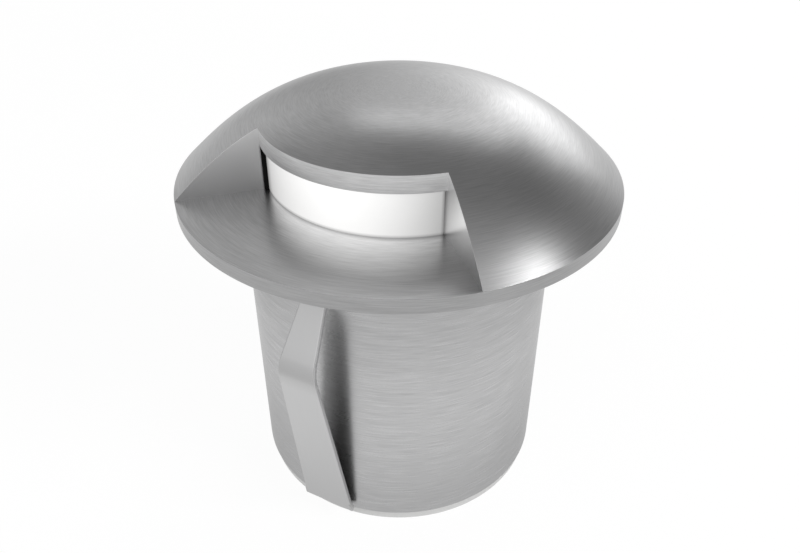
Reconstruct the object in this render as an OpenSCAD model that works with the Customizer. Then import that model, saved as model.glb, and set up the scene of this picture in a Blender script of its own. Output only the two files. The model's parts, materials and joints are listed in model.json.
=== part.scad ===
// In-ground marker light: a domed steel cap with one side window, set on a
// plain steel tube that two leaf springs hold in its hole.
// Millimetres, +Z up, the origin at the centre of the rear face, and the
// window facing -Y.

/* [Cap] */
// Outside diameter of the flange
flange_d = 60; // [57:0.5:72]
// Thickness of the flange at its rim
flange_t = 2.05; // [1.6:0.05:3]
// Height of the dome above the flange
dome_rise = 11.75; // [11:0.25:15]
// Exponent that flattens the crown of the dome
crown_power = 2.78; // [2.5:0.02:3.2]
// Exponent that sets how steeply the dome meets the rim
rim_power = 1.04; // [0.9:0.02:1.1]
// Angle that the window notch takes out of the dome
notch_angle = 90; // [60:5:110]
// How far the wall at the back of the notch stands in from the tube's face
notch_inset = 3; // [2.7:0.05:3.3]
// Height of the steel band between the window and the dome
window_band = 2.33; // [1.5:0.1:3.5]
// Thickness of the curved wall at the back of the notch
cap_wall = 1; // [0.8:0.1:1.2]
// Length of the spigot that goes down into the tube
spigot_len = 4.6; // [4:0.1:8]
// Depth of the seat in the flange that takes the end of the tube
seat_depth = 0.4; // [0.2:0.1:1]

/* [Lens] */
// How far the lens face stands back from the notch wall
lens_setback = 0.6; // [0.4:0.05:0.8]
// How far the lens and its gasket lap behind the window edge
lens_lap = 0.85; // [0.6:0.05:0.95]
// Thickness of the lens behind its raised face
lens_t = 1.6; // [1.2:0.1:2]
// Thickness of the lens gasket
gasket_t = 0.45; // [0.3:0.05:0.6]
// Width of the gasket lip that shows at one end of the window
lip_w = 0.4; // [0.3:0.05:0.6]

/* [Body] */
// Depth from the flange to the rear face
body_depth = 45; // [43:1:80]
// Outside diameter of the tube
tube_d = 43; // [42.8:0.1:46]
// Wall of the tube round the cap spigot
tube_wall = 1.5; // [1.3:0.1:1.6]
// Inward step that carries the heat spreader
shoulder_w = 0.8; // [0.6:0.1:1.2]

/* [Rear cover] */
// Diameter of the cover rim that shows below the tube
cover_d = 42.2; // [41.6:0.1:42.6]
// Thickness of the cover rim
cover_rim_t = 1.6; // [1.5:0.1:2.5]
// Height of the cover plug above the rim
cover_plug_h = 5; // [4.8:0.1:7]
// Diameter of the cable that the gland seals on
cable_d = 6; // [5:0.5:7]

/* [Springs] */
// Thickness of the spring strip
spring_t = 0.8; // [0.5:0.05:1]
// How far the knee of a spring stands out from the tube
spring_reach = 6.2; // [4:0.1:7]
// Depth of the knee below the flange
knee_drop = 13.3; // [11:0.1:18]
// Depth of the spring end below the flange
tip_drop = 5.9; // [5:0.1:7]
// Width of a spring at its foot
foot_w = 7.9; // [6.5:0.1:10]
// Width of a spring at its knee
knee_w = 5.3; // [4.5:0.1:6.4]
// Width of a spring at its upper end
tip_w = 3.5; // [2.5:0.1:4.4]
// Width of the tab that hooks into the tube
tab_w = 5; // [4:0.1:6]
// Radius of the knee bend along the middle of the strip
knee_bend_r = 4; // [2.5:0.1:5]

/* [Light engine] */
// Gap round the LED board in the light chamber
board_gap = 1.7; // [1:0.1:2.5]
// Thickness of the LED board
board_t = 1.6; // [1:0.1:2]
// Thickness of the thermal pad
pad_t = 0.5; // [0.3:0.1:1]
// Thickness of the heat spreader
spreader_t = 4; // [3:0.5:6]
// Side of an LED package
led_w = 3; // [2:0.5:3.5]
// Height of an LED package
led_h = 0.8; // [0.5:0.1:1.2]

/* [Driver] */
// Gap from the edge of the driver board to the wall of its carrier
driver_gap = 1.5; // [0.5:0.1:2.5]
// Height of the driver board
driver_h = 20; // [20:0.5:21]
// Thickness of the driver board
driver_t = 1.6; // [1:0.1:2]
// Wall of the insulating driver carrier
carrier_wall = 1.2; // [1:0.1:1.5]
// Diameter of the capacitor can
cap_can_d = 6.3; // [5:0.1:8]
// Height of the capacitor can
cap_can_h = 11; // [8:0.5:12]
// Diameter of the inductor
inductor_d = 6.5; // [5:0.5:8]
// Height of the inductor above the board
inductor_h = 4; // [3:0.5:5]

/* [Hidden] */
$fn = 96;

// Clearance between pieces that are pushed together
fit = 0.05;
// Clearance round a spigot or a plug
spigot_fit = 0.1;
// Clearance that keeps a spring off what it moves past
travel_gap = 0.25;
// Overrun of every cut past the face that it opens
over = 1;
// Chamfer that breaks the free edge of a turned piece
edge_break = 0.15;

// Heights of the main faces, from the rear face up
flange_z = body_depth;
floor_z = flange_z + flange_t;
tube_top = flange_z + seat_depth;
tube_end = cover_rim_t;
spreader_top = flange_z - spigot_len - fit;
spreader_base = spreader_top - spreader_t;
pad_top = spreader_top + pad_t;
board_top = pad_top + board_t;
plug_top = tube_end + cover_plug_h;

// Radii of the main faces, from the outside in
flange_r = flange_d / 2;
tube_r = tube_d / 2;
notch_r = tube_r - notch_inset;
chamber_r = notch_r - cap_wall;
bore_r = tube_r - tube_wall;
lower_bore_r = bore_r - shoulder_w;
spigot_r = bore_r - spigot_fit;
plug_r = lower_bore_r - spigot_fit;

// Bands of the dome surface, evenly spaced in slope
dome_bands = 32;
function dome_z(r) =
    floor_z + dome_rise * pow(1 - pow(r / flange_r, crown_power), rim_power);
window_top = dome_z(notch_r) - window_band;
chamber_top = window_top + lens_lap + fit;

// O-rings and their grooves, and the land above the rear one
oring_d = 1.5;
groove_h = oring_d + 4 * fit;
groove_land = 1.2;
cap_groove_z = flange_z - spigot_len / 2;
rear_groove_z = plug_top - groove_land - oring_d / 2;

// Lens, gasket and reflector behind the window
lens_front_r = notch_r - lens_setback;
lens_outer_r = chamber_r - gasket_t - fit;
lens_back_r = lens_outer_r - lens_t + gasket_t;
lip_angle = 2 * asin(lip_w / 2 / notch_r);
fit_angle = 2 * asin(fit / notch_r);
lap_angle = 2 * asin(2 * lens_lap / notch_r);
reflector_wall = 1;
reflector_r = lens_back_r - 2 * fit;
reflector_foot_r = chamber_r - spigot_fit;
cone_tip_r = 1.2;
cone_h_share = 0.62;

// Screws through the LED board into the heat spreader
board_screw_r = 1.25;
board_head_r = 2.1;
board_head_h = 1.5;
board_screw_len = 6;
board_screw_x = reflector_r - reflector_wall - board_head_r - 4 * fit;

// Leads from the driver up to the LED board
lead_r = 0.65;
lead_gap = 1.2;
lead_bend_r = 2 * lead_r;
lead_hole_r = lead_gap + lead_bend_r;
lead_flat = 2;

// Ring of LEDs, and how far the thermal pad stays inside the board's edge
led_count = 4;
led_ring_share = 0.28;
board_r = chamber_r - board_gap;
led_ring_r = 2 * board_r * led_ring_share;
pad_inset = 1;

// Tie screws that draw the rear cover up to the heat spreader
tie_count = 3;
tie_screw_r = 1.5;
tie_head_r = 2.75;
tie_head_h = 1.7;
tie_ring_r = plug_r - carrier_wall - tie_head_r + tie_screw_r / 4;
tie_depth_share = 0.85;
tie_socket_r = 1.15;
tie_socket_share = 0.6;

// Cable gland in the middle of the rear cover
cable_r = cable_d / 2;
seal_wall = 2.9;
seal_len = 5;
nut_wall = 4;
nut_len = 4.6;
nut_recess = 0.4;
washer_t = 1;
cable_gap = 0.4;
slot_w = 1.4;
slot_depth = 1;
nut_slots = 4;
boss_wall = 2;
ledge_t = 1;
nut_r = cable_r + nut_wall;
seal_r = cable_r + seal_wall;
nut_top = nut_recess + nut_len;
washer_top = nut_top + fit + washer_t;
seal_base = washer_top + fit;
seal_top = seal_base + seal_len;
boss_top = seal_top + fit + ledge_t;

// Driver board, which stands on the rear cover and straddles the gland boss
board_edge = 1;
cable_room = 2.2;
boss_gap = 0.6;
driver_y = cable_r + cable_room;
driver_z = plug_top + board_edge;
driver_back = driver_y + driver_t;
notch_half = sqrt(pow(nut_r + boss_wall, 2) - pow(driver_y, 2)) + boss_gap;
// Height at which the parts on the board start, clear of the boss
parts_z = boss_top + board_edge;
carrier_r = lower_bore_r - spigot_fit;
carrier_inner_r = carrier_r - carrier_wall;
driver_w = 2 * (sqrt(pow(carrier_inner_r, 2) - pow(driver_back, 2)) - driver_gap);
carrier_base = plug_top + fit;
carrier_top = spreader_base - fit;
rail_w = 2.4;
rail_grip = 1.2;
rail_x = driver_w / 2 - rail_grip;
terminal_w = 8;
terminal_h = 7;
terminal_d = 7;
terminal_x = -driver_w / 2 + rail_grip + 2 * fit + terminal_w / 2;
terminal_hole_r = 1.3;
plug_w = 6;
plug_h = 5;
plug_d = 5.2;
chip_w = 5;
chip_h = 4;
chip_t = 1.5;
parts_x_share = 0.26;
bobbin_share = 0.2;

// Middle line of a spring: tab, foot bend, blade, knee bend and upper leg
tab_z = tube_end + travel_gap - 2 * fit + spring_t / 2;
tab_reach = 1.1;
tab_end = bore_r - tab_reach;
foot_inner_r = 0.5;
foot_bend_r = foot_inner_r + spring_t / 2;
foot_gap = 4 * fit;
foot_x = tube_r + foot_gap + spring_t / 2;
knee_x = tube_r + spring_reach - spring_t / 2;
knee_z = flange_z - knee_drop;
tip_x = tube_r + travel_gap + 2 * fit + spring_t / 2;
tip_z = flange_z - tip_drop;
blade_lean = atan2(knee_x - foot_x, knee_z - tab_z);
tip_lean = atan2(knee_x - tip_x, tip_z - knee_z);
foot_tangent = foot_bend_r * tan((90 - blade_lean) / 2);
foot_centre = [foot_x - foot_tangent, tab_z + foot_bend_r];
knee_tangent = knee_bend_r * tan((blade_lean + tip_lean) / 2);
knee_centre = [
    knee_x - knee_tangent * sin(blade_lean) - knee_bend_r * cos(blade_lean),
    knee_z - knee_tangent * cos(blade_lean) + knee_bend_r * sin(blade_lean)
];
// Direction of the line across the strip where the knee turns
knee_mid = (tip_lean - blade_lean) / 2;
half_t = spring_t / 2;
// Top of the taper's outline, just past the upper end, and its width there
leg_h = knee_drop - tip_drop + half_t;
taper_top = knee_z + leg_h + over;
taper_top_w = knee_w - (knee_w - tip_w) * (leg_h + over) / leg_h;
// Running gap between the blade and the upper leg at the knee
knee_gap = fit;
bend_steps = 8;

function on_circle(c, r, a) = [c[0] + r * cos(a), c[1] + r * sin(a)];
function arc(c, r, a0, a1, n) =
    [for (i = [0:n]) on_circle(c, r, a0 + (a1 - a0) * i / n)];

knee_axis = on_circle(knee_centre, knee_bend_r, knee_mid);
scoop_r = half_t + knee_gap;
scoop_angle = acos(half_t / scoop_r);
// Where the bent faces of the upper leg start, past the lips of its hollow
lip_back = 2 * scoop_r * sin(scoop_angle);
front_start = knee_mid + lip_back / (knee_bend_r + half_t) * 180 / PI;
back_start = knee_mid + lip_back / (knee_bend_r - half_t) * 180 / PI;

steel = [0.68, 0.68, 0.69];
spring_steel = [0.74, 0.74, 0.75];
black_rubber = [0.06, 0.06, 0.06];

// A wedge of angle a about -Y, turned by turn and reaching to radius r
module sector(a, r, turn = 0) {
    steps = 6;
    reach = r / cos(a / steps / 2);
    rotate(turn - 90)
        polygon(concat([[0, 0]], arc([0, 0], reach, -a / 2, a / 2, steps)));
}

// A ring from radius r0 to r1 and from height z0 to z1
module ring(r0, r1, z0, z1) {
    translate([0, 0, z0]) linear_extrude(height = z1 - z0)
        difference() {
            circle(r = r1);
            circle(r = r0);
        }
}

// A ring cut down to a wedge of angle a about -Y
module ring_sector(r0, r1, z0, z1, a, turn = 0) {
    translate([0, 0, z0]) linear_extrude(height = z1 - z0)
        intersection() {
            difference() {
                circle(r = r1);
                circle(r = r0);
            }
            sector(a, r1 + over, turn);
        }
}

module rod(r, z0, z1) {
    translate([0, 0, z0]) cylinder(r = r, h = z1 - z0);
}

// A rod whose lower edge is broken
module turned_rod(r, z0, z1) {
    rotate_extrude()
        polygon([[0, z0], [r - edge_break, z0], [r, z0 + edge_break],
            [r, z1], [0, z1]]);
}

// The dome and flange as one turned shape
module dome_blank() {
    rotate_extrude()
        polygon(concat(
            [[0, flange_z], [flange_r - edge_break, flange_z],
                [flange_r, flange_z + edge_break]],
            [for (i = [0:dome_bands])
                let (r = flange_r * cos(90 * i / dome_bands)) [r, dome_z(r)]]
        ));
}

module dome_cap() {
    color(steel) difference() {
        union() {
            dome_blank();
            turned_rod(spigot_r, flange_z - spigot_len, flange_z + flange_t / 2);
        }
        // Notch out to the rim, then the window through its back wall
        ring_sector(notch_r, flange_r + over, floor_z,
            floor_z + dome_rise + over, notch_angle);
        ring_sector(chamber_r / 2, notch_r + fit, floor_z, window_top,
            notch_angle);
        // Light chamber, open at the bottom
        rod(chamber_r, flange_z - spigot_len - over, chamber_top);
        // Groove of the O-ring
        ring(spigot_r - oring_d, spigot_r + over,
            cap_groove_z - groove_h / 2, cap_groove_z + groove_h / 2);
        // Seat of the tube end
        ring(spigot_r, tube_r + fit, flange_z - fit, tube_top + fit);
    }
}

module cap_oring() {
    color(black_rubber) translate([0, 0, cap_groove_z]) rotate_extrude()
        translate([bore_r - fit - oring_d / 2, 0]) circle(d = oring_d, $fn = 32);
}

// Raised face in the window and a wider back that the gasket seals on
module lens() {
    face_angle = notch_angle - lip_angle - 3 * fit_angle;
    color([0.93, 0.93, 0.92]) union() {
        ring_sector(lens_outer_r - fit, lens_front_r, floor_z + fit,
            window_top - fit, face_angle, lip_angle / 2);
        ring_sector(lens_back_r, lens_outer_r, floor_z - lens_lap,
            window_top + lens_lap, notch_angle + lap_angle);
    }
}

// Frame between the lens and the chamber wall, with one lip in the window
module lens_gasket() {
    // The opening passes the window's other end, so that no lip stays there
    opening_angle = notch_angle - lip_angle;
    color(black_rubber) difference() {
        union() {
            ring_sector(lens_outer_r + fit, chamber_r - fit / 2,
                floor_z - lens_lap, window_top + lens_lap,
                notch_angle + lap_angle);
            ring_sector(chamber_r - fit, notch_r - fit, floor_z + fit,
                window_top - fit, notch_angle - fit_angle);
        }
        ring_sector(chamber_r / 2, notch_r + over, floor_z, window_top,
            opening_angle, (lip_angle + fit_angle) / 2);
    }
}

// White cup with a cone that throws the light out through the window
module reflector() {
    cup_top = chamber_top - fit;
    foot_top = floor_z - lens_lap - fit;
    cone_h = (cup_top - board_top) * cone_h_share;
    color([0.95, 0.95, 0.94]) union() {
        difference() {
            union() {
                rod(reflector_r, board_top + fit, cup_top);
                rod(reflector_foot_r, board_top + fit, foot_top);
            }
            rod(reflector_r - reflector_wall, board_top, cup_top - reflector_wall);
            ring_sector(reflector_r / 2, chamber_r, foot_top,
                cup_top - reflector_wall, notch_angle);
        }
        translate([0, 0, cup_top - reflector_wall - cone_h])
            cylinder(r1 = cone_tip_r,
                r2 = reflector_r - 2 * reflector_wall, h = cone_h + fit);
    }
}

module board_screw_places() {
    for (side = [-1, 1])
        translate([side * board_screw_x, 0, 0]) children();
}

module led_board() {
    color([0.93, 0.94, 0.95]) difference() {
        rod(board_r, pad_top, board_top);
        translate([0, driver_y / 2, 0])
            rod(lead_hole_r, pad_top - over, board_top + over);
        board_screw_places()
            rod(board_screw_r + 2 * fit, pad_top - over, board_top + over);
    }
}

module leds() {
    color([0.98, 0.86, 0.3]) for (i = [0:led_count - 1])
        rotate(45 + i * 360 / led_count) translate([led_ring_r, 0, board_top + led_h / 2])
            cube([led_w, led_w, led_h], center = true);
}

module board_screws() {
    color([0.75, 0.75, 0.77]) board_screw_places() {
        rod(board_screw_r, board_top - board_screw_len, board_top + fit);
        difference() {
            rod(board_head_r, board_top, board_top + board_head_h);
            translate([0, 0, board_top + board_head_h / 2])
                cylinder(r = board_screw_r, h = board_head_h, $fn = 6);
        }
    }
}

module thermal_pad() {
    color([0.75, 0.72, 0.78]) difference() {
        rod(board_r - pad_inset, spreader_top, pad_top);
        translate([0, driver_y / 2, 0])
            rod(lead_hole_r, spreader_top - over, pad_top + over);
        board_screw_places()
            rod(board_screw_r + 2 * fit, spreader_top - over, pad_top + over);
    }
}

module tie_places() {
    for (i = [0:tie_count - 1])
        rotate(90 + i * 360 / tie_count) translate([tie_ring_r, 0, 0]) children();
}

module heat_spreader() {
    color([0.8, 0.81, 0.83]) difference() {
        rod(spigot_r, spreader_base, spreader_top);
        translate([0, driver_y / 2, 0])
            rod(lead_hole_r, spreader_base - over, spreader_top + over);
        board_screw_places()
            rod(board_screw_r + fit, spreader_base - over, spreader_top + over);
        tie_places()
            rod(tie_screw_r + fit, spreader_base - over,
                spreader_base + spreader_t * tie_depth_share + fit);
    }
}

// Opening for a spring tab, from height z0 to z1, cut inwards to radius r0
module tab_opening(r0, z0, z1) {
    for (turn = [-90, 90])
        rotate(turn)
            translate([r0, -tab_w / 2 - travel_gap, z0])
                cube([tube_r + over - r0, tab_w + 2 * travel_gap, z1 - z0]);
}

module body_tube() {
    color(steel) difference() {
        turned_rod(tube_r, tube_end, tube_top);
        rod(lower_bore_r, tube_end - over, tube_top + over);
        rod(bore_r, spreader_base, tube_top + over);
        tab_opening(lower_bore_r - over, tube_end - over,
            tab_z + half_t + travel_gap);
    }
}

// Sleeve with two rails, and one groove in them for the board's edges
module driver_carrier() {
    color([0.9, 0.9, 0.86]) difference() {
        union() {
            ring(carrier_inner_r, carrier_r, carrier_base, carrier_top);
            for (side = [-1, 1])
                driver_rail(side);
        }
        translate([-driver_w / 2 - fit, driver_y - fit, driver_z - fit])
            cube([driver_w + 2 * fit, driver_t + 2 * fit, carrier_top]);
    }
}

// Rail from the sleeve's wall in over one edge of the driver board
module driver_rail(side) {
    rail_h = carrier_top - carrier_base;
    translate([0, 0, carrier_base]) intersection() {
        translate([side > 0 ? rail_x : -rail_x - carrier_r,
            driver_y + driver_t / 2 - rail_w, 0])
            cube([carrier_r, 2 * rail_w, rail_h]);
        rod(carrier_r - carrier_wall / 2, 0, rail_h);
    }
}

module driver_board() {
    color([0.1, 0.4, 0.22]) difference() {
        translate([-driver_w / 2, driver_y, driver_z])
            cube([driver_w, driver_t, driver_h]);
        // Notch over the gland boss
        translate([-notch_half, driver_y - over, driver_z - over])
            cube([2 * notch_half, driver_t + 2 * over, parts_z - driver_z + over]);
    }
}

module driver_capacitor() {
    can_x = rail_x - 2 * fit - cap_can_d / 2;
    color([0.15, 0.17, 0.3])
        translate([can_x, driver_y - fit - cap_can_d / 2, parts_z + board_edge])
            cylinder(d = cap_can_d, h = cap_can_h);
}

module driver_inductor() {
    flange_h = inductor_h * bobbin_share;
    color([0.22, 0.21, 0.2])
        translate([-driver_w * parts_x_share, driver_back + fit,
            parts_z + board_edge + inductor_d / 2])
            rotate([-90, 0, 0]) union() {
                cylinder(d = inductor_d, h = flange_h);
                cylinder(d = inductor_d - 2 * flange_h, h = inductor_h);
                translate([0, 0, inductor_h - flange_h])
                    cylinder(d = inductor_d, h = flange_h);
            }
}

module driver_chip() {
    color([0.12, 0.12, 0.13])
        translate([driver_w * parts_x_share - chip_w / 2, driver_back + fit,
            parts_z + board_edge])
            cube([chip_w, chip_t, chip_h]);
}

module input_terminal() {
    color([0.15, 0.5, 0.3])
        translate([terminal_x, driver_y - fit, parts_z + board_edge]) difference() {
            translate([-terminal_w / 2, -terminal_d, 0])
                cube([terminal_w, terminal_d, terminal_h]);
            for (side = [-1, 1])
                translate([side * terminal_w / 4, -terminal_d / 2, -over])
                    cylinder(r = terminal_hole_r, h = over + terminal_h / 2);
        }
}

module output_terminal() {
    color([0.92, 0.92, 0.9])
        translate([-plug_w / 2, driver_y - fit - plug_d,
            driver_z + driver_h - board_edge - plug_h])
            cube([plug_w, plug_d, plug_h]);
}

// Two leads, up through the hole and folded down flat on the LED board
module led_leads() {
    start_z = driver_z + driver_h - board_edge + fit;
    flat_z = board_top + fit + lead_r;
    for (side = [-1, 1])
        color(side > 0 ? [0.75, 0.1, 0.1] : [0.1, 0.1, 0.1])
            translate([side * lead_gap, driver_y / 2, 0]) union() {
                rod(lead_r, start_z, flat_z - lead_bend_r);
                translate([side * lead_bend_r, 0, flat_z - lead_bend_r])
                    rotate([90, 0, 0]) rotate(side > 0 ? 90 : 0)
                        rotate_extrude(angle = 90)
                            translate([lead_bend_r, 0]) circle(r = lead_r, $fn = 32);
                translate([side * lead_bend_r, 0, flat_z])
                    rotate([0, side * 90, 0]) cylinder(r = lead_r, h = lead_flat);
            }
}

module rear_cover() {
    color([0.8, 0.8, 0.79]) difference() {
        union() {
            turned_rod(cover_d / 2, 0, cover_rim_t);
            rod(plug_r, cover_rim_t / 2, plug_top);
            rod(nut_r + boss_wall, 0, boss_top);
        }
        // Stepped bore of the gland
        rod(nut_r + fit, -over, seal_base);
        rod(seal_r + fit, seal_base - over, seal_top + fit);
        rod(cable_r + cable_gap, seal_top, boss_top + over);
        // Groove of the O-ring
        ring(plug_r - oring_d, plug_r + over,
            rear_groove_z - groove_h / 2, rear_groove_z + groove_h / 2);
        // Counterbored holes of the tie screws
        tie_places() {
            rod(tie_screw_r + fit, -over, plug_top + over);
            rod(tie_head_r + 2 * fit, -over, nut_recess + tie_head_h);
        }
        // Slots that take the spring tabs
        tab_opening(tab_end - travel_gap, tab_z - half_t - 2 * travel_gap + fit,
            tab_z + half_t + travel_gap);
    }
}

module rear_oring() {
    color(black_rubber) translate([0, 0, rear_groove_z]) rotate_extrude()
        translate([lower_bore_r - fit - oring_d / 2, 0])
            circle(d = oring_d, $fn = 32);
}

module tie_screws() {
    shank_base = nut_recess + tie_head_h;
    color([0.75, 0.75, 0.77]) tie_places() difference() {
        union() {
            rod(tie_screw_r, nut_recess, spreader_base + spreader_t * tie_depth_share);
            turned_rod(tie_head_r, nut_recess, shank_base);
        }
        translate([0, 0, nut_recess - over])
            cylinder(r = tie_socket_r, h = over + tie_head_h * tie_socket_share, $fn = 6);
    }
}

module gland_seal() {
    color(black_rubber) ring(cable_r, seal_r, seal_base, seal_top);
}

module gland_washer() {
    color([0.85, 0.85, 0.82])
        ring(cable_r + cable_gap, nut_r - fit, nut_top + fit, washer_top);
}

module gland_nut() {
    color([0.1, 0.1, 0.1]) difference() {
        turned_rod(nut_r, nut_recess, nut_top);
        rod(cable_r + cable_gap, nut_recess - over, nut_top + over);
        for (i = [0:nut_slots - 1])
            rotate(45 + i * 360 / nut_slots)
                translate([cable_r + nut_wall / 2, -slot_w / 2, nut_recess - over])
                    cube([nut_wall, slot_w, over + slot_depth]);
    }
}

// Outline of a spring seen from the front, wide at the foot
module spring_taper() {
    rotate([90, 0, 90]) linear_extrude(height = knee_x + over)
        polygon([
            [-foot_w / 2, 0], [foot_w / 2, 0], [knee_w / 2, knee_z],
            [taper_top_w / 2, taper_top], [-taper_top_w / 2, taper_top],
            [-knee_w / 2, knee_z]
        ]);
}

// A flat strip bent to a side outline
module spring_strip(outline) {
    rotate([90, 0, 0])
        linear_extrude(height = foot_w, center = true) polygon(outline);
}

// Round bar along the line where the knee turns
module knee_bar(r, w) {
    translate([knee_axis[0], 0, knee_axis[1]]) rotate([90, 0, 0])
        cylinder(r = r, h = w, center = true);
}

// Tab, foot bend and blade, ending in a rounded edge at the knee
module spring_blade(turn) {
    outline = concat(
        [[tab_end, tab_z - half_t]],
        arc(foot_centre, foot_bend_r + half_t, -90, -blade_lean, bend_steps),
        arc(knee_centre, knee_bend_r + half_t, -blade_lean, knee_mid, bend_steps),
        arc(knee_centre, knee_bend_r - half_t, knee_mid, -blade_lean, bend_steps),
        arc(foot_centre, foot_bend_r - half_t, -blade_lean, -90, bend_steps),
        [[tab_end, tab_z + half_t]]
    );
    color(spring_steel) rotate(turn) difference() {
        intersection() {
            union() {
                spring_strip(outline);
                knee_bar(half_t, foot_w);
            }
            spring_taper();
        }
        // The tab is narrower than the foot of the blade
        for (side = [-1, 1])
            translate([tab_end - over, side > 0 ? tab_w / 2 : -tab_w / 2 - foot_w, 0])
                cube([foot_x - half_t - tab_end + over, foot_w, 2 * tab_z]);
    }
}

// Upper leg, hollowed to sit on the rounded edge of the blade
module spring_tip(turn) {
    outline = concat(
        [on_circle(knee_axis, scoop_r, knee_mid + 180 - scoop_angle),
            on_circle(knee_axis, scoop_r, knee_mid + scoop_angle)],
        arc(knee_centre, knee_bend_r + half_t, front_start, tip_lean, bend_steps),
        arc([tip_x, tip_z], half_t, tip_lean, tip_lean + 180, bend_steps),
        arc(knee_centre, knee_bend_r - half_t, tip_lean, back_start, bend_steps)
    );
    color(spring_steel) rotate(turn) difference() {
        intersection() {
            spring_strip(outline);
            spring_taper();
        }
        knee_bar(scoop_r, foot_w + over);
    }
}

module spring_front_blade() { spring_blade(-90); }
module spring_front_tip() { spring_tip(-90); }
module spring_rear_blade() { spring_blade(90); }
module spring_rear_tip() { spring_tip(90); }

dome_cap();
lens();
lens_gasket();
reflector();
cap_oring();
led_board();
leds();
board_screws();
thermal_pad();
heat_spreader();
body_tube();
driver_carrier();
driver_board();
driver_capacitor();
driver_inductor();
driver_chip();
input_terminal();
output_terminal();
led_leads();
rear_cover();
rear_oring();
tie_screws();
gland_seal();
gland_washer();
gland_nut();
spring_front_blade();
spring_front_tip();
spring_rear_blade();
spring_rear_tip();
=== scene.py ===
"""Dressed scene of a small in-ground marker light with a domed steel cap.

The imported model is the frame.  The cap, the lens, the leaf springs and the tie
screws are rebuilt here with broken edges, every other piece keeps its own solid
and gets a worked finish, and the light stands on a pale floor in a soft studio.
Lengths are written in millimetres and turned into metres by MM, apart from the
few in the studio and the camera that are said to be metres.
"""

import json
import logging
import math
from dataclasses import dataclass
from enum import Enum
from typing import Iterable, Sequence

import bmesh
import bpy
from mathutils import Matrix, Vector


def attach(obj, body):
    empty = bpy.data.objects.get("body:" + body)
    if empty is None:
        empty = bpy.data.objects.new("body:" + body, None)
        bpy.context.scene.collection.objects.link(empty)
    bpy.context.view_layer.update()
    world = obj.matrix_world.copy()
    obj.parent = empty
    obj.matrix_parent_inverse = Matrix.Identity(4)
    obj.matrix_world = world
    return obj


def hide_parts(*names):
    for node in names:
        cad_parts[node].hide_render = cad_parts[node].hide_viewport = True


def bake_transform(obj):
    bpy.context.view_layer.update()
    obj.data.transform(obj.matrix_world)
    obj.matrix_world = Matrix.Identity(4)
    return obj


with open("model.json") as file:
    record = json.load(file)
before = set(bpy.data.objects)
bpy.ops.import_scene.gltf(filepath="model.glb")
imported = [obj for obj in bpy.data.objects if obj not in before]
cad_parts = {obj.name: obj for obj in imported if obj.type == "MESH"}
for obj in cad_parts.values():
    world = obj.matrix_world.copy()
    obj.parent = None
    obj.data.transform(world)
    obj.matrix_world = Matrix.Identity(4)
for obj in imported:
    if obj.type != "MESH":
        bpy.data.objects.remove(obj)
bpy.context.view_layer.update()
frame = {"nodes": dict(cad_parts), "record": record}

MM = 0.001
DEGREE = math.pi / 180
IMAGE_W = 800
MERGE = 0.0005 * MM
BLACK = (0.0, 0.0, 0.0)
WHITE = (1.0, 1.0, 1.0)
LOG = logging.getLogger("marker_light")

# Kinds of the groups' sockets that aren't plain numbers
SOCKET_KINDS = {
    "Vector": "Vector", "Normal": "Vector", "Line": "Geometry", "Ribbon": "Geometry",
    "Piece": "Geometry", "Pieces": "Geometry", "Count": "Int", "Finish": "Material",
}

# Ranges in which most and nearly all values of a noise lie
NOISE_CORE = (0.3, 0.7)
NOISE_REACH = (0.2, 0.8)

Colour = tuple[float, float, float]
Point2 = tuple[float, float]
StripPoint = tuple[float, float, bool]
Socket = bpy.types.NodeSocket
Sockets = bpy.types.bpy_prop_collection
Node = bpy.types.Node
Tree = bpy.types.NodeTree
Material = bpy.types.Material
Piece = bpy.types.Object
Mesh = bmesh.types.BMesh
Vert = bmesh.types.BMVert
Face = bmesh.types.BMFace


class Grain(Enum):
    """Direction in which a metal surface is brushed."""

    ROUND_AXIS = "round the axis"
    ALONG_STRIP = "along the strip"


class Side(Enum):
    """Side of the tube that a leaf spring stands on."""

    FRONT = "front"
    REAR = "rear"


# Node tools


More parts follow.
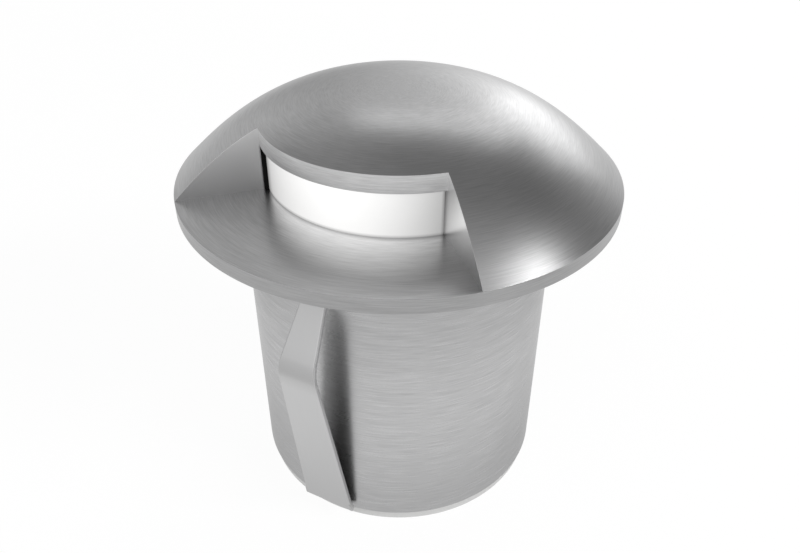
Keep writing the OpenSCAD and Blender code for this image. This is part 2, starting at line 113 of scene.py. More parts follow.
class Shading:
    """Small helper that adds and links nodes in one tree."""

    def __init__(self, tree: Tree) -> None:
        """Keeps the tree that nodes are added to."""
        self.tree = tree

    def add(self, kind: str, feeds: dict | Sequence = (), **values: object) -> Node:
        """Adds a node.

        Args:
            kind: Blender's name of the node type.
            feeds: What its inputs get, by name or in order.
            values: Properties to set on it first.

        Returns:
            The new node.
        """
        node = self.tree.nodes.new(kind)
        for name, value in values.items():
            setattr(node, name, value)
        for key, value in feeds.items() if isinstance(feeds, dict) else enumerate(feeds):
            self.feed(node.inputs[key], value)
        return node

    def feed(self, socket: Socket, value: object) -> None:
        """Links an output to an input, or sets the input's own value.

        Args:
            socket: The input.
            value: An output, a number, a colour or a vector.
        """
        if isinstance(value, Socket):
            self.tree.links.new(value, socket)
        elif socket.type == "RGBA":
            socket.default_value = (*value, 1.0)
        else:
            socket.default_value = value

    def group(self, tree: Tree, feeds: dict[str, object]) -> Sockets:
        """Outputs of a node group that gets what it is fed."""
        return self.add("ShaderNodeGroup", feeds, node_tree=tree).outputs

    def place(self) -> Socket:
        """Object coordinates."""
        return self.add("ShaderNodeTexCoord").outputs["Object"]

    def normal(self) -> Socket:
        """Way that the face looks."""
        return self.add("ShaderNodeNewGeometry").outputs["Normal"]

    def combine(self, *values: object) -> Socket:
        """Vector of three values."""
        return self.add("ShaderNodeCombineXYZ", values).outputs[0]

    def split(self, vector: Socket) -> list[Socket]:
        """The three values of a vector."""
        return list(self.add("ShaderNodeSeparateXYZ", [vector]).outputs)

    def math(self, operation: str, *values: object) -> Socket:
        """Result of a Math node."""
        return self.add("ShaderNodeMath", values, operation=operation).outputs[0]

    def plus(self, first: object, second: object) -> Socket:
        """Sum of two values."""
        return self.math("ADD", first, second)

    def minus(self, first: object, second: object) -> Socket:
        """First value less the second."""
        return self.math("SUBTRACT", first, second)

    def times(self, first: object, second: object) -> Socket:
        """Product of two values."""
        return self.math("MULTIPLY", first, second)

    def over(self, first: object, second: object) -> Socket:
        """First value divided by the second."""
        return self.math("DIVIDE", first, second)

    def radius(self, x: Socket, y: Socket) -> Socket:
        """Distance from the Z axis."""
        return self.math("SQRT", self.plus(self.times(x, x), self.times(y, y)))

    def outward(self) -> Socket:
        """How far the faces look away from the Z axis.

        Returns:
            1 for a face that looks outwards, 0 sideways and -1 inwards.
        """
        x, y, _ = self.split(self.place())
        nx, ny, _ = self.split(self.normal())
        return self.over(self.plus(self.times(x, nx), self.times(y, ny)), self.radius(x, y))

    def spread(
        self, value: object, low: object, high: object, to_low: object = 0.0, to_high: object = 1.0
    ) -> Socket:
        """Maps a value from one range to another, held at its ends."""
        feeds = (value, low, high, to_low, to_high)
        return self.add("ShaderNodeMapRange", feeds).outputs[0]

    def noise(
        self, vector: Socket, scale: object = 1.0, detail: float = 2.0, roughness: float = 0.5
    ) -> Socket:
        """Factor of a 3-D noise."""
        feeds = {"Vector": vector, "Scale": scale, "Detail": detail, "Roughness": roughness}
        return self.add("ShaderNodeTexNoise", feeds).outputs["Fac"]

    def mix(self, factor: object, first: object, second: object) -> Socket:
        """Mix of two colours, the second one where the factor is 1."""
        feeds = {"Factor": factor, "A": first, "B": second}
        return self.add("ShaderNodeMix", feeds, data_type="RGBA").outputs["Result"]

    def tinted(self, mask: Socket, colour: Colour, span: float) -> Socket:
        """Colour that swings by a share of its value with a mask.

        Args:
            mask: Value from 0 to 1.
            colour: Colour at the middle of the swing.
            span: Share of the colour's value that it swings by, up and down.

        Returns:
            The colour.
        """
        low = tuple(c * (1 - span) for c in colour)
        high = tuple(min(1.0, c * (1 + span)) for c in colour)
        return self.mix(mask, low, high)

    def bump(self, height: Socket, depth: float) -> Socket:
        """Normal of a relief, its depth in millimetres."""
        feeds = {"Strength": 1.0, "Distance": depth * MM, "Height": height}
        return self.add("ShaderNodeBump", feeds).outputs["Normal"]

    def ramp(self, value: Socket, levels: Sequence[Point2]) -> Socket:
        """Grey that follows a value from stop to stop.

        Args:
            value: The value, 0 to 1.
            levels: Position and level of each stop, in rising order.

        Returns:
            The grey.
        """
        node = self.add("ShaderNodeValToRGB", [value])
        stops = node.color_ramp.elements
        while len(stops) < len(levels):
            stops.new(position=0.5)
        for stop, (position, level) in zip(stops, levels):
            stop.position = position
            stop.color = (level, level, level, 1.0)
        return node.outputs["Color"]


def empty_nodes(owner: bpy.types.ID) -> Shading:
    """Clears the nodes of a material or a world.

    Args:
        owner: The material or world.

    Returns:
        The helper of its tree.
    """
    owner.use_nodes = True
    owner.node_tree.nodes.clear()
    return Shading(owner.node_tree)


def new_group(
    name: str, inputs: Iterable[str], outputs: Iterable[str], kind: str = "ShaderNodeTree"
) -> tuple[Shading, Sockets, Sockets]:
    """Makes a node group with named sockets.

    Args:
        name: Name of the group.
        inputs: Names of its inputs.
        outputs: Names of its outputs.
        kind: Blender's name of the tree type.

    Returns:
        The group's helper, what goes into the group and what comes out of it.
    """
    tree = bpy.data.node_groups.new(name, kind)
    for way, titles in (("INPUT", inputs), ("OUTPUT", outputs)):
        for title in titles:
            socket = f"NodeSocket{SOCKET_KINDS.get(title, 'Float')}"
            tree.interface.new_socket(title, in_out=way, socket_type=socket)
    s = Shading(tree)
    return s, s.add("NodeGroupInput").outputs, s.add("NodeGroupOutput").inputs


def end_in_finish(s: Shading, geometry: Socket, finish: Socket, result: Socket) -> None:
    """Ends a geometry tree with real geometry in its finish.

    Args:
        s: The tree's helper.
        geometry: What the tree made.
        finish: The material.
        result: Where it goes out.
    """
    real = s.add("GeometryNodeRealizeInstances", {"Geometry": geometry}).outputs["Geometry"]
    dressed = s.add("GeometryNodeSetMaterial", {"Geometry": real, "Material": finish})
    s.feed(result, dressed.outputs["Geometry"])


class Effects:
    """Shader node groups that several finishes share, each built once."""

    def __init__(self) -> None:
        """Builds every group."""
        self.round_grain = self._round_grain()
        self.strip_grain = self._strip_grain()
        self.mould_skin = self._mould_skin()
        self.settled_dust = self._settled_dust()

    @staticmethod
    def _round_grain() -> Tree:
        """Fine scratches round the Z axis, as a lathe or a belt leaves them.

        Returns:
            The group.
        """
        s, given, result = new_group(
            "Round grain", ("Vector", "Grain Width", "Streak Turns"), ("Scratch", "Band"))
        least_r, slow_turns, slow_width = 0.05 * MM, 0.5, 0.12
        x, y, z = s.split(given["Vector"])
        radius = s.radius(x, y)
        safe = s.math("MAXIMUM", radius, least_r)
        turn_x = s.times(s.over(x, safe), given["Streak Turns"])
        turn_y = s.times(s.over(y, safe), given["Streak Turns"])
        across = s.over(s.minus(radius, z), s.times(given["Grain Width"], MM))
        fine = s.combine(turn_x, turn_y, across)
        s.feed(result["Scratch"], s.noise(fine, detail=3.0, roughness=0.6))
        slow = s.combine(
            s.times(turn_x, slow_turns), s.times(turn_y, slow_turns), s.times(across, slow_width))
        s.feed(result["Band"], s.noise(slow))
        return s.tree

    @staticmethod
    def _strip_grain() -> Tree:
        """Rolling marks that run up a strip.

        Returns:
            The group.
        """
        s, given, result = new_group(
            "Strip grain", ("Vector", "Grain Width"), ("Scratch", "Band"))
        stretch = 40.0
        x, y, z = s.split(given["Vector"])
        width = s.times(given["Grain Width"], MM)
        along = s.over(s.plus(z, y), s.times(width, stretch))
        fine = s.combine(s.over(x, width), along, 0.0)
        s.feed(result["Scratch"], s.noise(fine, detail=3.0, roughness=0.6))
        s.feed(result["Band"], s.noise(given["Vector"], scale=260.0))
        return s.tree

    @staticmethod
    def _mould_skin() -> Tree:
        """Skin of a moulded or coated piece: a fine pebble and slow clouds.

        Returns:
            The group.
        """
        s, given, result = new_group(
            "Mould skin", ("Vector", "Pebble Size"), ("Pebble", "Cloud"))
        cloud_share = 0.04
        scale = s.over(1.0, s.times(given["Pebble Size"], MM))
        slow = s.times(scale, cloud_share)
        s.feed(result["Pebble"], s.noise(given["Vector"], scale, roughness=0.6))
        s.feed(result["Cloud"], s.noise(given["Vector"], slow, detail=3.0, roughness=0.55))
        return s.tree

    @staticmethod
    def _settled_dust() -> Tree:
        """Faint dust specks, more of them on faces that look up.

        Returns:
            The group.
        """
        s, given, result = new_group("Settled dust", ("Vector", "Normal"), ("Mask",))
        speck_scale, speck_from, speck_full = 2600.0, 0.7, 0.78
        side_share, side_z = 0.25, 0.2
        facing = s.spread(s.split(given["Normal"])[2], side_z, 1.0, side_share, 1.0)
        specks = s.spread(s.noise(given["Vector"], speck_scale), speck_from, speck_full)
        s.feed(result["Mask"], s.times(facing, specks))
        return s.tree


# Finishes


@dataclass(frozen=True)
class Finish:
    """What every finish shares: its name and its written colour."""

    name: str
    colour: Colour

    def material(self, effects: Effects) -> Material:
        """Makes the material.

        Args:
            effects: The shared node groups.

        Returns:
            The finished material.
        """
        material = bpy.data.materials.new(self.name)
        s = empty_nodes(material)
        shader = s.add("ShaderNodeBsdfPrincipled", self.feeds(s, effects))
        s.add("ShaderNodeOutputMaterial", [shader.outputs[0]])
        return material

    def feeds(self, s: Shading, effects: Effects) -> dict[str, object]:
        """Values and outputs for the surface shader's inputs, which each finish works out."""
        raise NotImplementedError


@dataclass(frozen=True)
class BrushedSteel(Finish):
    """Bare metal, brushed or turned one way."""

    grain: Grain = Grain.ROUND_AXIS
    roughness: float = 0.3
    roughness_span: float = 0.06
    grain_width: float = 0.12
    streak_turns: float = 5.0
    scratch_share: float = 0.88
    tone_span: float = 0.04
    scratch_depth: float = 0.002
    contrast: float = 0.25
    edge_tint: float = 1.0

    def feeds(self, s: Shading, effects: Effects) -> dict[str, object]:
        """Brushed grain in colour, roughness and relief.

        Args:
            s: The material's nodes.
            effects: The shared node groups.

        Returns:
            What the shader's inputs get.
        """
        given = {"Vector": s.place(), "Grain Width": self.grain_width}
        tree = effects.strip_grain
        if self.grain is Grain.ROUND_AXIS:
            given["Streak Turns"] = self.streak_turns
            tree = effects.round_grain
        marks = s.group(tree, given)
        scratch = s.spread(marks["Scratch"], 0.5 - self.contrast, 0.5 + self.contrast)
        band = s.spread(marks["Band"], *NOISE_CORE)
        both = s.plus(s.times(scratch, self.scratch_share), s.times(band, 1 - self.scratch_share))
        smooth, rough = self.roughness - self.roughness_span, self.roughness + self.roughness_span
        return {
            "Base Color": self.surface_colour(s, both),
            "Metallic": 1.0,
            "Specular Tint": (self.edge_tint,) * 3,
            "Roughness": s.spread(both, 0.0, 1.0, rough, smooth),
            "Normal": s.bump(scratch, self.scratch_depth),
        }

    def surface_colour(self, s: Shading, both: Socket) -> Socket:
        """Colour of the steel, swinging with its grain."""
        return s.tinted(both, self.colour, self.tone_span)


@dataclass(frozen=True)
class CapSteel(BrushedSteel):
    """Steel of the cap, with painted light on the band over the notch's window, painted shade low
    on the notch's side walls that lightens upwards, and darker on its rim.
    """

    # Painted light on the band over the window; painted shade low on the notch's side walls,
    # lightening to painted light higher up
    lintel_lit_colour: Colour = (0.7, 0.7, 0.702)
    rim_colour: Colour = (0.42, 0.42, 0.422)
    rim_top: float = 46.95
    rim_fade: float = 0.05
    side_shade_colour: Colour = (0.54, 0.54, 0.542)
    side_lit_colour: Colour = (0.95, 0.95, 0.95)
    side_low: float = 47.3
    side_high: float = 55.0
    facing: Point2 = (0.3, 0.6)

    def surface_colour(self, s: Shading, both: Socket) -> Socket:
        """Colour of the cap, with painted light and shade on the notch's milled faces.

        Args:
            s: The material's nodes.
            both: Its grain, 0 to 1.

        Returns:
            The colour.
        """
        z = s.split(s.place())[2]
        crown, rim, lintel = (
            s.tinted(both, colour, self.tone_span)
            for colour in (self.colour, self.rim_colour, self.lintel_lit_colour)
        )
        low = s.spread(z, self.rim_top * MM, (self.rim_top - self.rim_fade) * MM)
        # Painted shade low on the notch's side walls turning to painted light higher up, and
        # painted light on the band over the window
        height = s.spread(z, self.side_low * MM, self.side_high * MM)
        side = s.mix(height, self.side_shade_colour, self.side_lit_colour)
        across = s.spread(s.math("ABSOLUTE", s.outward()), *self.facing)
        milled = s.add("ShaderNodeAttribute", attribute_name="milled").outputs["Fac"]
        return s.mix(milled, s.mix(low, crown, rim), s.mix(across, side, lintel))


@dataclass(frozen=True)
class SpringSteel(BrushedSteel):
    """Strip steel, with painted light on the faces that look towards the tube, darker low down,
    painted light on its upper leg and painted shade at its bend.
    """

    # Painted light on the upper leg and on the faces that look towards the tube, darker low down;
    # painted shade at the bend
    leg_lit_colour: Colour = (0.6, 0.6, 0.603)
    inner_lit_colour: Colour = (0.95, 0.95, 0.95)
    inner_shade_colour: Colour = (0.5, 0.5, 0.5)
    bend_shade_colour: Colour = (0.48, 0.48, 0.48)
    bend_z: float = 30.9
    bend_reach: float = 2.4
    leg_reach: float = 3.6
    facing: Point2 = (-0.3, -0.6)

    def surface_colour(self, s: Shading, both: Socket) -> Socket:
        """Colour of the strip, with painted light and shade by the height and the way its faces
        look.

        Args:
            s: The material's nodes.
            both: Its grain, 0 to 1.

        Returns:
            The colour.
        """
        z = s.split(s.place())[2]
        bend_z, top = self.bend_z * MM, (self.bend_z + self.leg_reach) * MM
        # Painted shade at the bend, painted light on the upper leg and on the faces that look
        # towards the tube
        away = s.math("ABSOLUTE", s.minus(z, bend_z))
        bend = s.spread(away, self.bend_reach * MM, 0.0)
        blade = s.tinted(both, self.colour, self.tone_span)
        outer = s.mix(s.spread(z, bend_z, top), blade, self.leg_lit_colour)
        inner = s.mix(s.spread(z, 0.0, top), self.inner_shade_colour, self.inner_lit_colour)
        inside = s.spread(s.outward(), *self.facing)
        return s.mix(inside, s.mix(bend, outer, self.bend_shade_colour), inner)


@dataclass(frozen=True)
class Moulded(Finish):
    """Moulded plastic, rubber or ceramic with a fine skin."""

    roughness: float = 0.6
    roughness_span: float = 0.06
    pebble: float = 0.12
    depth: float = 0.004
    tone_span: float = 0.03
    specular: float = 0.5
    coat: float = 0.0
    dust: float = 0.0
    dust_colour: Colour = (0.5, 0.49, 0.47)

    def feeds(self, s: Shading, effects: Effects) -> dict[str, object]:
        """Moulded skin in colour, roughness and relief, with dust where it is asked for.

        Args:
            s: The material's nodes.
            effects: The shared node groups.

        Returns:
            What the shader's inputs get.
        """
        place = s.place()
        skin = s.group(effects.mould_skin, {"Vector": place, "Pebble Size": self.pebble})
        colour = s.tinted(skin["Cloud"], self.colour, self.tone_span)
        if self.dust > 0.0:
            specks = s.group(effects.settled_dust, {"Vector": place, "Normal": s.normal()})
            colour = s.mix(s.times(specks["Mask"], self.dust), colour, self.dust_colour)
        smooth, rough = self.roughness - self.roughness_span, self.roughness + self.roughness_span
        return {
            "Base Color": colour,
            "Specular IOR Level": self.specular,
            "Coat Weight": self.coat,
            "Roughness": s.spread(skin["Cloud"], *NOISE_REACH, smooth, rough),
            "Normal": s.bump(skin["Pebble"], self.depth),
        }


@dataclass(frozen=True)
class LitLens(Finish):
    """Frosted lens, lit from behind by the light chamber.

    Its ends are angles and heights, each with the reach over which painted shade at that edge of
    the window fades inwards.
    """

    glow: Colour = (1.0, 0.997, 0.99)
    strength: float = 1.8
    seen_share: float = 0.533
    seen_low: float = 0.93
    seen_high: float = 1.05
    top_share: float = 0.26
    peak_angle: float = 4.0
    left_reach: float = 67.0
    right_reach: float = 56.0
    fall: float = 1.7
    end_angles: tuple[Point2, ...] = ((-44.0, 7.0), (44.8, -1.3))
    end_heights: tuple[Point2, ...] = ((47.05, 0.5), (53.3, -0.35))
    edge_shade_share: float = 0.45
    pebble: float = 0.08
    depth: float = 0.002
    tone_span: float = 0.01
    smooth: float = 0.42
    rough: float = 0.5

    def feeds(self, s: Shading, effects: Effects) -> dict[str, object]:
        """Frosted skin and a glow that falls off from its peak, with painted shade at the window's
        edges.

        Args:
            s: The material's nodes.
            effects: The shared node groups.

        Returns:
            What the shader's inputs get.
        """
        place = s.place()
        x, y, z = s.split(place)
        # Angle from the middle of the window, seen from above
        angle = s.math("ARCTAN2", x, s.times(y, -1.0))
        off = s.minus(angle, self.peak_angle * DEGREE)
        left = s.over(s.math("MAXIMUM", s.times(off, -1.0), 0.0), self.left_reach * DEGREE)
        right = s.over(s.math("MAXIMUM", off, 0.0), self.right_reach * DEGREE)
        shares = [s.minus(1.0, s.math("POWER", s.plus(left, right), self.fall))]
        # Painted shade along the window's ends, its foot and its top
        for value, unit, ends in ((angle, DEGREE, self.end_angles), (z, MM, self.end_heights)):
            for end, fade in ends:
                shares.append(s.spread(value, end * unit, (end + fade) * unit, self.edge_shade_share))
        # The lens is brighter than white, most of all low down: steel that mirrors it
        # shows by how much, and the camera sees it plain
        rise = (z, *(height * MM for height, _ in self.end_heights))
        mirrored = s.spread(*rise, 1.0, self.top_share)
        plain = s.spread(
            *rise, self.seen_share * self.seen_low, self.seen_share * self.seen_high)
        glossy = s.add("ShaderNodeLightPath").outputs["Is Glossy Ray"]
        shares.append(s.spread(glossy, 0.0, 1.0, plain, mirrored))
        skin = s.group(effects.mould_skin, {"Vector": place, "Pebble Size": self.pebble})
        level = s.spread(skin["Cloud"], *NOISE_REACH, 1 - self.tone_span, 1 + self.tone_span)
        for share in shares:
            level = s.times(level, share)
        return {
            "Base Color": s.tinted(skin["Cloud"], self.colour, self.tone_span),
            "Roughness": s.spread(skin["Pebble"], *NOISE_CORE, self.smooth, self.rough),
            "Emission Color": s.mix(level, BLACK, self.glow),
            "Emission Strength": self.strength,
            "Normal": s.bump(skin["Pebble"], self.depth),
        }


# Mesh helpers


class RadialMesh:
    """Mesh with its vertices on radial planes round the Z axis.

    Points closer than a step of 1 / per_mm are one vertex, and a radius under axis_r
    millimetres is the axis itself.
    """

    per_mm = 1e4
    axis_r = 1e-6

    def __init__(self, angles: Sequence[float]) -> None:
        """Starts an empty mesh.

        Args:
            angles: Angle of each plane from -Y, in radians.
        """
        self.bm = bmesh.new()
        self.angles = angles
        self.verts: dict[tuple[int, int, int], Vert] = {}

    def vert(self, r: float, z: float, step: int) -> Vert:
        """Vertex at a radius and height on one plane.

        Args:
            r: The radius.
            z: The height.
            step: Number of the plane.

        Returns:
            The vertex, made where there is none yet.
        """
        step %= len(self.angles)
        plane = 0 if r < self.axis_r else step
        key = (round(r * self.per_mm), round(z * self.per_mm), plane)
        if key not in self.verts:
            a = self.angles[step]
            place = (r * MM * math.sin(a), -r * MM * math.cos(a), z * MM)
            self.verts[key] = self.bm.verts.new(place)
        return self.verts[key]

    def band(self, points: Sequence[Point2], step: int) -> list[Face]:
        """Strip of faces between a plane and the next one.

        Args:
            points: Radius and height of each point of the strip's line.
            step: Number of the first plane.

        Returns:
            The faces.
        """
        faces = []
        for low, high in zip(points, points[1:]):
            corners = [self.vert(*low, step), self.vert(*high, step),
                       self.vert(*high, step + 1), self.vert(*low, step + 1)]
            unique = list(dict.fromkeys(corners))
            if len(unique) > 2:
                faces.append(self.bm.faces.new(unique))
        return faces

    def flat(self, points: Iterable[Point2], step: int) -> Face:
        """Face that lies in one plane, its doubled points left out."""
        corners = dict.fromkeys(self.vert(*point, step) for point in points)
        return self.bm.faces.new(list(corners))


def new_object(name: str, data: bpy.types.ID) -> Piece:
    """Adds an object to the scene.

    Args:
        name: Its name.
        data: Its mesh, lamp or camera.

    Returns:
        The object.
    """
    made = bpy.data.objects.new(name, data)
    bpy.context.scene.collection.objects.link(made)
    return made


def close_mesh(bm: Mesh, least: float) -> bmesh.types.BMLayerItem:
    """Turns the faces outwards and marks the sharp edges, the convex ones for a bevel.

    Args:
        bm: A closed mesh.
        least: Smallest angle between two faces at a sharp edge, in degrees.

    Returns:
        The layer of the bevel weights.
    """
    bmesh.ops.remove_doubles(bm, verts=bm.verts, dist=MERGE)
    bmesh.ops.recalc_face_normals(bm, faces=bm.faces)
    for face in bm.faces:
        face.smooth = True
    weight = bm.edges.layers.float.new("bevel_weight_edge")
    for edge in bm.edges:
        if len(edge.link_faces) != 2 or edge.calc_face_angle(0.0) < math.radians(least):
            continue
        if edge.is_convex:
            edge[weight] = 1.0
        else:
            edge.smooth = False
    return weight


def new_piece(name: str, bm: Mesh) -> Piece:
    """Turns a bmesh into a linked object.

    Args:
        name: Name of the piece.
        bm: Its mesh, freed afterwards.

    Returns:
        The object.
    """
    mesh = bpy.data.meshes.new(name)
    bm.to_mesh(mesh)
    bm.free()
    return new_object(name, mesh)


def bake_modifiers(piece: Piece) -> None:
    """Replaces an object's mesh by its evaluated one and drops its modifiers.

    Args:
        piece: The object.
    """
    depsgraph = bpy.context.evaluated_depsgraph_get()
    baked = bpy.data.meshes.new_from_object(
        piece.evaluated_get(depsgraph), preserve_all_data_layers=True, depsgraph=depsgraph)
    old = piece.data
    piece.modifiers.clear()
    piece.data = baked
    baked.name = piece.name
    if old.users == 0:
        bpy.data.meshes.remove(old)


def break_edges(piece: Piece, width: float, segments: int = 2) -> None:
    """Bevels the weighed edges and keeps flat faces flat.

    Args:
        piece: The object.
        width: Width of the bevel in millimetres.
        segments: Number of strips across it.
    """
    bevel = piece.modifiers.new("Broken edges", "BEVEL")
    bevel.width = width * MM
    bevel.segments = segments
    bevel.limit_method = "WEIGHT"
    bevel.harden_normals = True
    bevel.miter_outer = "MITER_ARC"
    bake_modifiers(piece)


def run_tree(piece: Piece, tree: Tree, values: dict[str, object]) -> None:
    """Runs a geometry tree on a piece and keeps what it makes.

    Args:
        piece: The object.
        tree: The geometry tree.
        values: What its inputs get, by their shown names.
    """
    modifier = piece.modifiers.new(tree.name, "NODES")
    modifier.node_group = tree
    sockets = [item for item in tree.interface.items_tree if item.item_type == "SOCKET"]
    identifiers = {item.name: item.identifier for item in sockets if item.in_out == "INPUT"}
    for title, value in values.items():
        modifier[identifiers[title]] = value
    bake_modifiers(piece)


def give_finish(piece: Piece, material: Material) -> None:
    """Makes one material the only one of a piece."""
    piece.data.materials.clear()
    piece.data.materials.append(material)


def report(piece: Piece) -> None:
    """Logs a finished piece."""
    LOG.info("%s: %d faces", piece.name, len(piece.data.polygons))


# The dome cap


@dataclass
class DomeCap:
    """Turned cap: dome, flange, spigot and the notch with its window."""

    material: Material
    flange_r: float = 30.0
    flange_z: float = 45.0
    floor_z: float = 47.05
    dome_rise: float = 11.75
    crown_power: float = 2.78
    rim_power: float = 1.04
    notch_r: float = 18.5
    notch_half: float = 45.0
    window_band: float = 2.33
    chamber_r: float = 17.5
    chamber_over: float = 0.9
    seat_r: float = 21.55
    seat_top: float = 45.45
    spigot_r: float = 19.9
    spigot_base: float = 40.4
    groove_r: float = 18.4
    groove_low: float = 41.85
    groove_high: float = 43.55
    edge_break: float = 0.15
    crown_rings: int = 26
    flank_rings: int = 16
    notch_steps: int = 60
    wall_steps: int = 180
    sharp_from: float = 25.0
    bevel: float = 0.04

    def on_dome(self, r: float) -> Point2:
        """Point of the dome's surface at a radius."""
        share = max(0.0, 1 - (r / self.flange_r) ** self.crown_power)
        return r, self.floor_z + self.dome_rise * share ** self.rim_power

    def underside(self) -> list[Point2]:
        """Profile from the rim's lower edge in to the spigot's foot.

        Returns:
            Its points.
        """
        rim, seat, spigot, groove = self.flange_r, self.seat_r, self.spigot_r, self.groove_r
        broken, under, base = self.edge_break, self.flange_z, self.spigot_base
        return [
            (rim, under + broken), (rim - broken, under), (seat, under), (seat, self.seat_top),
            (spigot, self.seat_top), (spigot, self.groove_high), (groove, self.groove_high),
            (groove, self.groove_low), (spigot, self.groove_low), (spigot, base + broken),
            (spigot - broken, base), (self.chamber_r, base),
        ]

    def plane_angles(self) -> list[float]:
        """Angles of the radial planes from -Y, the notch's own ones first.

        Returns:
            The angles in radians.
        """
        half = math.radians(self.notch_half)
        notch = [-half + 2 * half * i / self.notch_steps for i in range(self.notch_steps)]
        rest = 2 * math.pi - 2 * half
        return notch + [half + rest * i / self.wall_steps for i in range(self.wall_steps)]

    def build(self) -> Piece:
        """Builds the cap as one closed mesh.

        Returns:
            The finished piece.
        """
        mesh = RadialMesh(self.plane_angles())
        milled = mesh.bm.faces.layers.float.new("milled")
        inner, wall, floor = self.chamber_r, self.notch_r, self.floor_z
        rings, width = self.flank_rings, self.flange_r - wall
        crown = [self.on_dome(wall * i / self.crown_rings) for i in range(self.crown_rings + 1)]
        flank = [self.on_dome(wall + width * i / rings) for i in range(1, rings + 1)]
        ledge = self.on_dome(wall)
        top = ledge[1] - self.window_band
        over = top + self.chamber_over
        always = [
            crown, [(self.flange_r, floor)] + self.underside(),
            [(inner, self.spigot_base), (inner, floor)],
            [(inner, top), (inner, over), (inner / 2, over), (0.0, over)],
        ]
        lintel = [ledge, (wall, top), (inner, top)]
        notch_floor = [(inner, floor), (wall, floor)] + [(r, floor) for r, _ in flank]
        jamb = [(inner, floor), (inner, top)]
        cut = []
        for step in range(len(mesh.angles)):
            for line in always:
                mesh.band(line, step)
            if step < self.notch_steps:
                cut += mesh.band(lintel, step)
                mesh.band(notch_floor, step)
            else:
                mesh.band([ledge, *flank], step)
                mesh.band(jamb, step)
        # The flat side walls of the notch, from the chamber out to the rim
        first = flank[0]
        for step in (0, self.notch_steps):
            cut.append(mesh.flat([(inner, floor), (wall, floor), (wall, top), (inner, top)], step))
            outline = [(wall, floor), (first[0], floor), first, ledge, (wall, top)]
            cut.append(mesh.flat(outline, step))
            for a, b in zip(flank, flank[1:]):
                cut.append(mesh.flat([(a[0], floor), (b[0], floor), b, a], step))
        for face in cut:
            face[milled] = 1.0
        close_mesh(mesh.bm, self.sharp_from)
        piece = new_piece("steel_cap", mesh.bm)
        break_edges(piece, self.bevel)
        give_finish(piece, self.material)
        return piece

    def dress(self) -> None:
        """Builds the cap and puts it in the place of its solid."""
        piece = self.build()
        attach(piece, "root")
        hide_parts("dome_cap")
        report(piece)


# The lens


@dataclass
class Lens:
    """Frosted lens: a raised face in the window on a wider curved back."""

    material: Material
    back_r: float = 15.85
    outer_r: float = 17.0
    front_r: float = 17.9
    low: float = 46.2
    high: float = 54.15
    face_low: float = 47.08
    face_high: float = 53.27
    left: float = -43.6
    right: float = 44.95
    lap: float = 50.2
    steps: int = 72
    sharp_from: float = 30.0
    bevel: float = 0.16
    back_share: float = 0.3
    front_depth: float = 0.05

    def build(self) -> Piece:
        """Builds the lens as one closed curved block.

        Returns:
            The finished piece.
        """
        back = [(self.back_r, self.high), (self.back_r, self.low), (self.outer_r, self.low)]
        flat = [(self.outer_r, self.face_low), (self.outer_r, self.face_high)]
        raised = [
            flat[0], (self.front_r, self.face_low), (self.front_r, self.face_high), flat[1],
        ]
        top = (self.outer_r, self.high)
        width = self.right - self.left
        face = [self.left + width * i / self.steps for i in range(self.steps + 1)]
        mesh = RadialMesh([math.radians(a) for a in (-self.lap, *face, self.lap)])
        last = len(mesh.angles) - 1
        for step in range(last):
            middle = raised if 0 < step < last - 1 else flat
            mesh.band([*back, *middle, top, back[0]], step)
        for step in (1, last - 1):
            mesh.flat(raised, step)
        for step in (0, last):
            mesh.flat([*back, *flat, top], step)
        weight = close_mesh(mesh.bm, self.sharp_from)
        for edge in mesh.bm.edges:
            reach = min(math.hypot(v.co.x, v.co.y) for v in edge.verts)
            if reach < (self.front_r - self.front_depth) * MM:
                edge[weight] *= self.back_share
        piece = new_piece("frosted_lens", mesh.bm)
        break_edges(piece, self.bevel, segments=3)
        give_finish(piece, self.material)
        return piece

    def dress(self) -> None:
        """Builds the lens and puts it in the place of its solid."""
        piece = self.build()
        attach(piece, "root")
        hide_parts("lens")
        report(piece)


# The leaf springs


def ribbon_tree() -> Tree:
    """Geometry tree that widens a bent line into a tapered ribbon.

    The width follows the height of the line's points from foot to knee to tip,
    and is the tab's where a point is marked so.

    Returns:
        The node group.
    """
    sizes = ("Foot Width", "Knee Width", "Tip Width", "Tab Width", "Knee Height", "Top Height")
    s, given, result = new_group(
        "Tapered ribbon", ("Line", *sizes, "Finish"), ("Ribbon",), "GeometryNodeTree")
    foot, knee, tip, tab, knee_z, top_z = (given[title] for title in sizes)
    height = s.split(s.add("GeometryNodeInputPosition").outputs[0])[2]
    lower = s.spread(height, 0.0, knee_z, foot, knee)
    upper = s.spread(height, knee_z, top_z, knee, tip)
    taper = s.minus(s.plus(lower, upper), knee)
    mark = s.add("GeometryNodeInputNamedAttribute", {"Name": "on_tab"}, data_type="FLOAT")
    width = s.minus(taper, s.times(s.minus(taper, tab), mark.outputs["Attribute"]))
    shift = s.add("GeometryNodeSetPosition", {
        "Geometry": given["Line"], "Offset": s.combine(s.times(width, -0.5), 0.0, 0.0)})
    grow = s.add("GeometryNodeExtrudeMesh", {
        "Mesh": shift.outputs["Geometry"], "Offset": s.combine(1.0, 0.0, 0.0),
        "Offset Scale": width}, mode="EDGES")
    end_in_finish(s, grow.outputs["Mesh"], given["Finish"], result["Ribbon"])
    return s.tree


